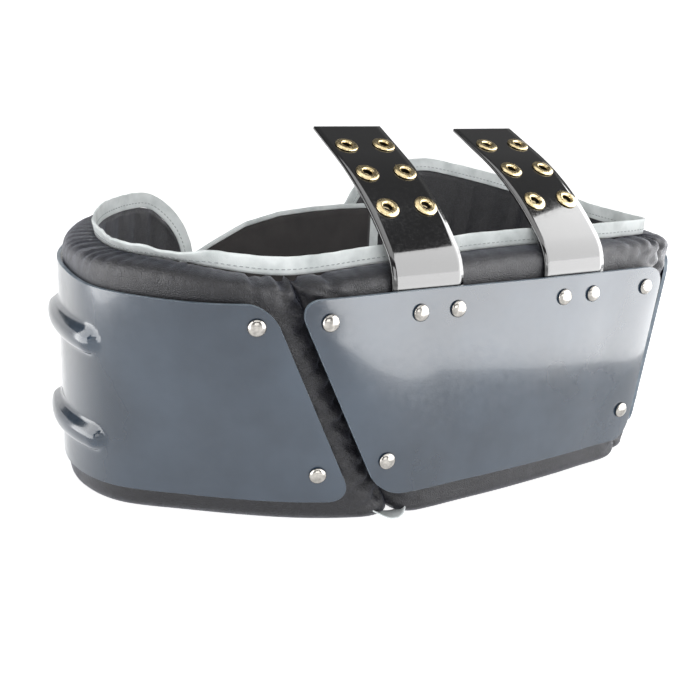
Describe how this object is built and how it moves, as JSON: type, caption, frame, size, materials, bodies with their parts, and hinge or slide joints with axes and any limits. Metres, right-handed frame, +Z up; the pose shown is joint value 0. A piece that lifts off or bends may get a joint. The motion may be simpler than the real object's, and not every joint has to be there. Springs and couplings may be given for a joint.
{
  "type": "rib protector",
  "caption": "Padded belt for the lower ribs, open at the front, with smoked hard plates riveted to its panels and upright straps with grommets for lacing to shoulder pads.",
  "frame": {"origin": "on the floor under the middle of the outer box", "axes": "+X along the belt's width, to the right as the strap panel is seen from outside; -Y is where the strap panel faces; +Z up"},
  "size_m": [0.4502, 0.2976, 0.2365],
  "materials": {
    "nylon": "black woven nylon over foam, slight sheen",
    "lining": "matt dark lining cloth",
    "tape": "greyish white woven binding tape",
    "plate": "smoked blue grey polycarbonate, polished with fine scratches",
    "strap": "gloss black plastic",
    "rivet": "nickel plated domes",
    "grommet": "polished brass"
  },
  "bodies": {
    "root": {"left_side_pad": "nylon", "strap_panel_pad": "nylon", "right_side_pad": "nylon", "edge_binding": "tape", "foot_binding": "tape", "front_flap": "lining", "flap_binding": "tape", "strap_left_grommet_1": "grommet", "strap_left_grommet_2": "grommet", "strap_left_grommet_3": "grommet", "strap_left_grommet_4": "grommet", "strap_left_grommet_5": "grommet", "strap_left_grommet_6": "grommet", "strap_left": "strap", "strap_right_grommet_1": "grommet", "strap_right_grommet_2": "grommet", "strap_right_grommet_3": "grommet", "strap_right_grommet_4": "grommet", "strap_right_grommet_5": "grommet", "strap_right_grommet_6": "grommet", "strap_right": "strap", "strap_plate": "plate", "strap_plate_rivet_1": "rivet", "strap_plate_rivet_2": "rivet", "strap_plate_rivet_3": "rivet", "strap_plate_rivet_4": "rivet", "strap_plate_rivet_5": "rivet", "strap_plate_rivet_6": "rivet", "strap_plate_rivet_7": "rivet", "strap_plate_rivet_8": "rivet", "left_side_plate": "plate", "left_side_plate_rivet_1": "rivet", "left_side_plate_rivet_2": "rivet", "left_side_plate_rivet_3": "rivet", "left_side_plate_rivet_4": "rivet", "right_side_plate": "plate", "right_side_plate_rivet_1": "rivet", "right_side_plate_rivet_2": "rivet", "right_side_plate_rivet_3": "rivet", "right_side_plate_rivet_4": "rivet"}
  },
  "joints": []
}
